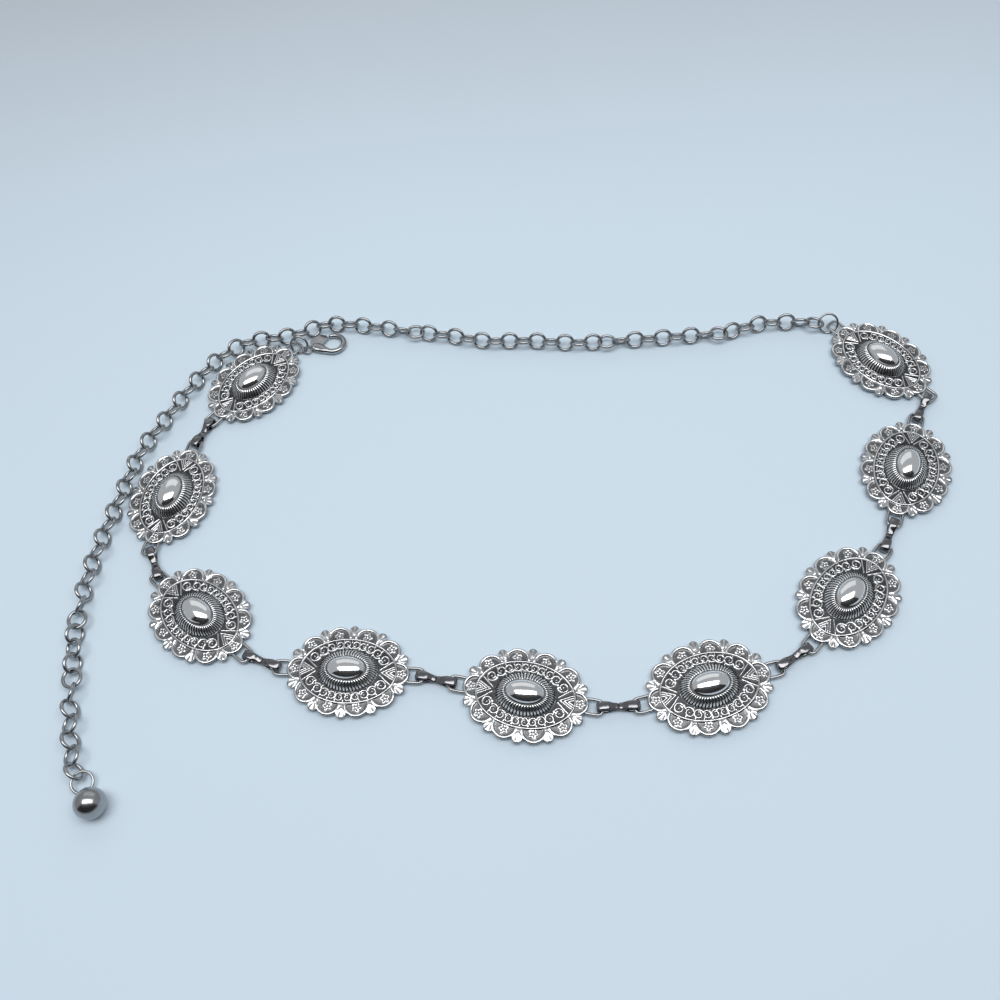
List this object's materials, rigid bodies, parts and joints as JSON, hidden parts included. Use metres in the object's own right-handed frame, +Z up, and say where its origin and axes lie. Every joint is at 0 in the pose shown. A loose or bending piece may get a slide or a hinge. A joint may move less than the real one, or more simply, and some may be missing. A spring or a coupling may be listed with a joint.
{
  "type": "concho belt",
  "caption": "Metal belt of scalloped oval conchos joined by figure-eight links, with a lobster clasp at one end and a cable chain with a ball at the other, lying as an open loop.",
  "frame": {"origin": "centre of the bounding box at its underside, on the surface that the belt lies on", "axes": "+X along the belt's longer way towards the conchos at the chain's end, +Y from the middle concho to the chain at the back, +Z up"},
  "size_m": [0.369, 0.2228, 0.0122],
  "materials": {
    "concho_silver": "antiqued bright silver with dark recesses",
    "link_gunmetal": "polished dark gunmetal",
    "chain_silver": "antiqued grey silver"
  },
  "bodies": {
    "belt": {"concho_1": "concho_silver", "concho_2": "concho_silver", "concho_3": "concho_silver", "concho_4": "concho_silver", "concho_5": "concho_silver", "concho_6": "concho_silver", "concho_7": "concho_silver", "concho_8": "concho_silver", "concho_9": "concho_silver", "figure_eight_1": "link_gunmetal", "figure_eight_2": "link_gunmetal", "figure_eight_3": "link_gunmetal", "figure_eight_4": "link_gunmetal", "figure_eight_5": "link_gunmetal", "figure_eight_6": "link_gunmetal", "figure_eight_7": "link_gunmetal", "figure_eight_8": "link_gunmetal", "chain_ring": "chain_silver", "clasp_ring": "chain_silver", "chain_back": "chain_silver", "chain_tail": "chain_silver", "clasp_body": "chain_silver", "ball_ring": "chain_silver", "ball": "chain_silver"},
    "lever": {"clasp_lever": "chain_silver"}
  },
  "joints": [
    {"name": "clasp_lever_hinge", "type": "hinge", "parent": "belt", "child": "lever", "pos_m": [-0.08826, 0.09781, 0.0015], "axis": [0, 0, 1], "range_deg": [-22, 0], "stiffness_Nm_per_rad": 0.0002}
  ]
}
